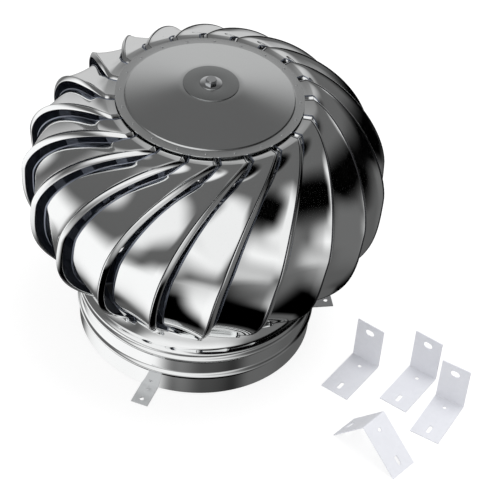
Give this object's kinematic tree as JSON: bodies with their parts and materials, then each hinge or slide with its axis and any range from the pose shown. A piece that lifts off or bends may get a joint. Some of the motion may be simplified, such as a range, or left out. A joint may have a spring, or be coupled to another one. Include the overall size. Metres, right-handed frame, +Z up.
{
  "type": "roof turbine ventilator",
  "caption": "Wind-driven roof ventilator: a beaded round collar on lugs carries a globe of curved polished vanes under a domed cap, spinning on a fixed shaft.",
  "frame": {"origin": "on the spin axis, on the plane of the undersides of the three fixed lugs, which is the roof plane", "axes": "+Z up the spin axis, from the collar to the cap; +X to the right as pictured, -Y towards the viewer"},
  "size_m": [0.5735, 0.4787, 0.3824],
  "materials": {
    "polished_sheet": "mirror-polished stainless sheet",
    "satin_cap": "satin stainless sheet, finely brushed round the axis",
    "plain_steel": "plain mill-finish steel",
    "bright_steel": "bright turned steel",
    "galvanised_bracket": "pale zinc-plated steel sheet"
  },
  "bodies": {
    "base": {"base_collar": "polished_sheet", "fixed_shaft": "bright_steel", "mounting_lug_1": "plain_steel", "mounting_lug_2": "plain_steel", "mounting_lug_3": "plain_steel", "brace_arm_1": "plain_steel", "brace_arm_2": "plain_steel", "brace_arm_3": "plain_steel", "loose_bracket_1": "galvanised_bracket", "loose_bracket_2": "galvanised_bracket", "loose_bracket_3": "galvanised_bracket", "loose_bracket_4": "galvanised_bracket"},
    "turbine": {"bearing_outer_rings": "bright_steel", "bearing_housings": "plain_steel", "rotor_spider": "plain_steel", "bottom_ring": "polished_sheet", "cap_dome": "satin_cap", "cap_center_plate": "satin_cap", "cap_washer": "bright_steel", "cap_bolt": "bright_steel", "vane_01": "polished_sheet", "vane_02": "polished_sheet", "vane_03": "polished_sheet", "vane_04": "polished_sheet", "vane_05": "polished_sheet", "vane_06": "polished_sheet", "vane_07": "polished_sheet", "vane_08": "polished_sheet", "vane_09": "polished_sheet", "vane_10": "polished_sheet", "vane_11": "polished_sheet", "vane_12": "polished_sheet", "vane_13": "polished_sheet", "vane_14": "polished_sheet", "vane_15": "polished_sheet", "vane_16": "polished_sheet", "vane_17": "polished_sheet", "vane_18": "polished_sheet", "vane_19": "polished_sheet", "vane_20": "polished_sheet"}
  },
  "joints": [
    {"name": "turbine_spin", "type": "hinge", "parent": "base", "child": "turbine", "pos_m": [0, 0, 0.2], "axis": [0, 0, 1], "continuous": true}
  ]
}
